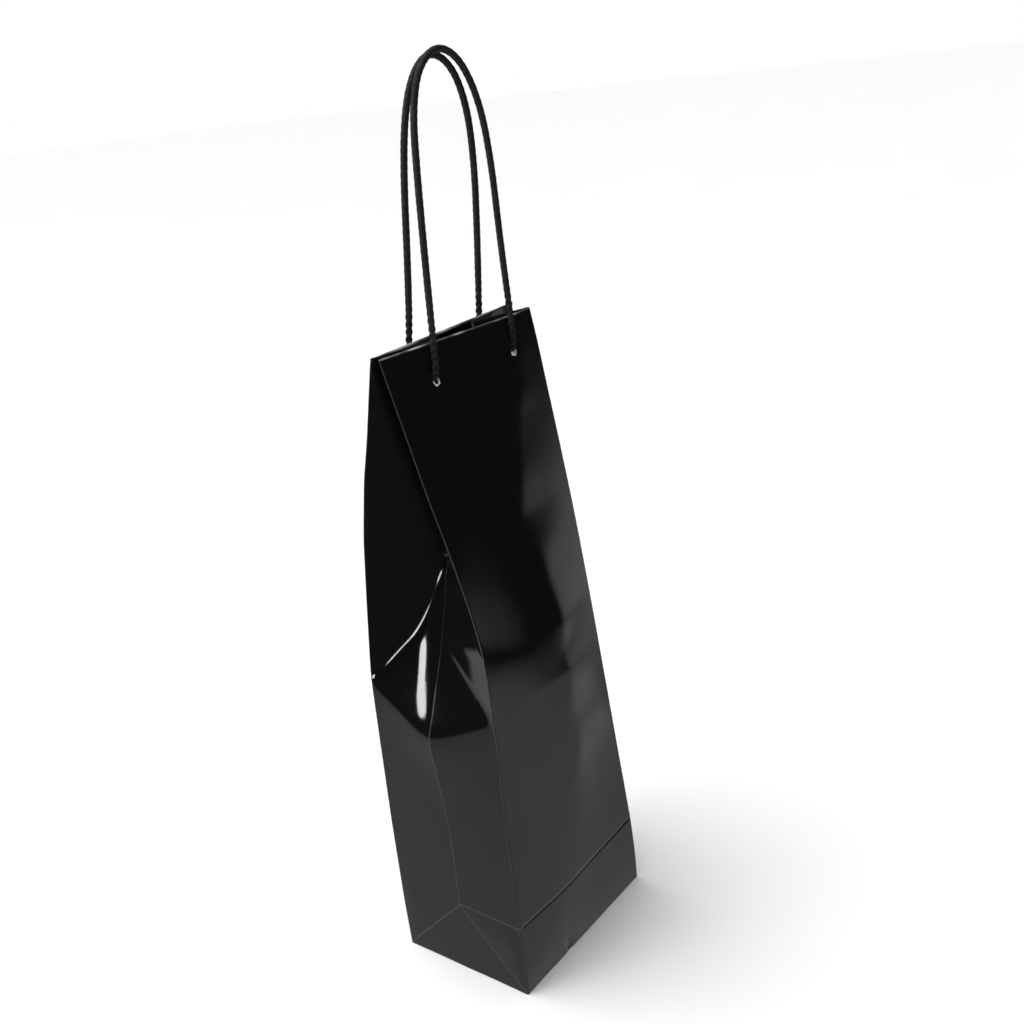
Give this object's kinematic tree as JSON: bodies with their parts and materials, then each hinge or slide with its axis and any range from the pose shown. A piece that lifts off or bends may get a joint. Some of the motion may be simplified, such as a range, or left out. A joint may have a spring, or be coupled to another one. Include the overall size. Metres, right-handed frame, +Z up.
{
  "type": "wine gift bag",
  "caption": "Tall glossy paper bottle bag with folded sides, turned-in top edge, loose base card and two rope handles.",
  "frame": {"origin": "middle of the bag's flat underside", "axes": "+Z up, X along the width of the front, the front faces -Y"},
  "size_m": [0.113, 0.083, 0.4759],
  "materials": {
    "gloss_paper": "black paper with a glossy film, white core at cut edges",
    "hem_paper": "the same paper turned in",
    "grey_board": "uncoated grey board",
    "rope_cotton": "matt black twisted two-strand cord",
    "bar_plastic": "matt black moulded bar"
  },
  "bodies": {
    "bag_base": {"base_flap_back": "gloss_paper", "base_flap_front": "gloss_paper", "base_flap_left": "gloss_paper", "base_flap_right": "gloss_paper", "wall_front": "gloss_paper", "wall_back": "gloss_paper", "wall_left": "gloss_paper", "wall_right": "gloss_paper", "glue_flap_lower": "gloss_paper"},
    "front_panel": {"panel_front": "gloss_paper", "hem_front": "hem_paper", "stiffener_front": "grey_board", "rope_bar_front_left": "bar_plastic", "rope_bar_front_right": "bar_plastic"},
    "back_panel": {"panel_back": "gloss_paper", "hem_back": "hem_paper", "stiffener_back": "grey_board", "glue_flap_upper": "gloss_paper", "rope_bar_back_left": "bar_plastic", "rope_bar_back_right": "bar_plastic"},
    "left_gusset": {"gusset_left": "gloss_paper"},
    "right_gusset": {"gusset_right": "gloss_paper"},
    "left_gusset_front": {"facet_left_front": "gloss_paper", "facet_hem_left_front": "hem_paper"},
    "left_front_corner": {"fold_left_front": "gloss_paper"},
    "left_gusset_back": {"facet_left_back": "gloss_paper", "facet_hem_left_back": "hem_paper"},
    "left_back_corner": {"fold_left_back": "gloss_paper"},
    "right_gusset_front": {"facet_right_front": "gloss_paper", "facet_hem_right_front": "hem_paper"},
    "right_front_corner": {"fold_right_front": "gloss_paper"},
    "right_gusset_back": {"facet_right_back": "gloss_paper", "facet_hem_right_back": "hem_paper"},
    "right_back_corner": {"fold_right_back": "gloss_paper"},
    "front_handle": {"rope_front": "rope_cotton"},
    "back_handle": {"rope_back": "rope_cotton"},
    "base_card": {"bottom_board": "grey_board"}
  },
  "joints": [
    {"name": "front_panel_open", "type": "hinge", "parent": "bag_base", "child": "front_panel", "pos_m": [0, -0.0415, 0.175], "axis": [1, 0, 0], "range_deg": [0, 11.71]},
    {"name": "back_panel_open", "type": "hinge", "parent": "bag_base", "child": "back_panel", "pos_m": [0, 0.0415, 0.175], "axis": [-1, 0, 0], "range_deg": [0, 11.71]},
    {"name": "left_gusset_fold", "type": "hinge", "parent": "bag_base", "child": "left_gusset", "pos_m": [-0.0565, 0, 0.175], "axis": [0, -1, 0], "range_deg": [0, 10.01]},
    {"name": "left_front_facet_fold", "type": "hinge", "parent": "left_gusset", "child": "left_gusset_front", "pos_m": [-0.0565, -0.0415, 0.175], "axis": [0.2293, 0.2307, 0.9456], "range_deg": [0, 70.78], "deforming": ["facet_left_front", "facet_hem_left_front"]},
    {"name": "left_front_corner_turn", "type": "hinge", "parent": "left_gusset", "child": "left_front_corner", "pos_m": [-0.0565, -0.0415, 0.175], "axis": [0.7589, 0.6479, -0.0665], "range_deg": [0, 15.4], "deforming": ["fold_left_front"]},
    {"name": "left_back_facet_fold", "type": "hinge", "parent": "left_gusset", "child": "left_gusset_back", "pos_m": [-0.0565, 0.0415, 0.175], "axis": [-0.2293, 0.2307, -0.9456], "range_deg": [0, 70.78], "deforming": ["facet_left_back", "facet_hem_left_back"]},
    {"name": "left_back_corner_turn", "type": "hinge", "parent": "left_gusset", "child": "left_back_corner", "pos_m": [-0.0565, 0.0415, 0.175], "axis": [-0.7589, 0.6479, 0.0665], "range_deg": [0, 15.4], "deforming": ["fold_left_back"]},
    {"name": "right_gusset_fold", "type": "hinge", "parent": "bag_base", "child": "right_gusset", "pos_m": [0.0565, 0, 0.175], "axis": [0, 1, 0], "range_deg": [0, 10.01]},
    {"name": "right_front_facet_fold", "type": "hinge", "parent": "right_gusset", "child": "right_gusset_front", "pos_m": [0.0565, -0.0415, 0.175], "axis": [0.2293, -0.2307, -0.9456], "range_deg": [0, 70.78], "deforming": ["facet_right_front", "facet_hem_right_front"]},
    {"name": "right_front_corner_turn", "type": "hinge", "parent": "right_gusset", "child": "right_front_corner", "pos_m": [0.0565, -0.0415, 0.175], "axis": [0.7589, -0.6479, 0.0665], "range_deg": [0, 15.4], "deforming": ["fold_right_front"]},
    {"name": "right_back_facet_fold", "type": "hinge", "parent": "right_gusset", "child": "right_gusset_back", "pos_m": [0.0565, 0.0415, 0.175], "axis": [-0.2293, -0.2307, 0.9456], "range_deg": [0, 70.78], "deforming": ["facet_right_back", "facet_hem_right_back"]},
    {"name": "right_back_corner_turn", "type": "hinge", "parent": "right_gusset", "child": "right_back_corner", "pos_m": [0.0565, 0.0415, 0.175], "axis": [-0.7589, -0.6479, -0.0665], "range_deg": [0, 15.4], "deforming": ["fold_right_back"]},
    {"name": "front_handle_swing", "type": "hinge", "parent": "front_panel", "child": "front_handle", "pos_m": [0, -0.00831, 0.32845], "axis": [1, 0, 0], "range_deg": [0, 150], "deforming": ["rope_front"]},
    {"name": "back_handle_swing", "type": "hinge", "parent": "back_panel", "child": "back_handle", "pos_m": [0, 0.00831, 0.32845], "axis": [-1, 0, 0], "range_deg": [0, 150], "deforming": ["rope_back"]},
    {"name": "bottom_board_lift", "type": "slide", "parent": "bag_base", "child": "base_card", "axis": [0, 0, 1], "range_m": [0, 0.04]}
  ],
  "couplings": [
    {"joint": "back_panel_open", "follows": "front_panel_open", "ratio": 1},
    {"joint": "left_gusset_fold", "follows": "front_panel_open", "ratio": 0.85455},
    {"joint": "left_front_facet_fold", "follows": "front_panel_open", "ratio": 6.0414},
    {"joint": "left_front_corner_turn", "follows": "front_panel_open", "ratio": 1.3144},
    {"joint": "left_back_facet_fold", "follows": "front_panel_open", "ratio": 6.0414},
    {"joint": "left_back_corner_turn", "follows": "front_panel_open", "ratio": 1.3144},
    {"joint": "right_gusset_fold", "follows": "front_panel_open", "ratio": 0.85455},
    {"joint": "right_front_facet_fold", "follows": "front_panel_open", "ratio": 6.0414},
    {"joint": "right_front_corner_turn", "follows": "front_panel_open", "ratio": 1.3144},
    {"joint": "right_back_facet_fold", "follows": "front_panel_open", "ratio": 6.0414},
    {"joint": "right_back_corner_turn", "follows": "front_panel_open", "ratio": 1.3144}
  ]
}
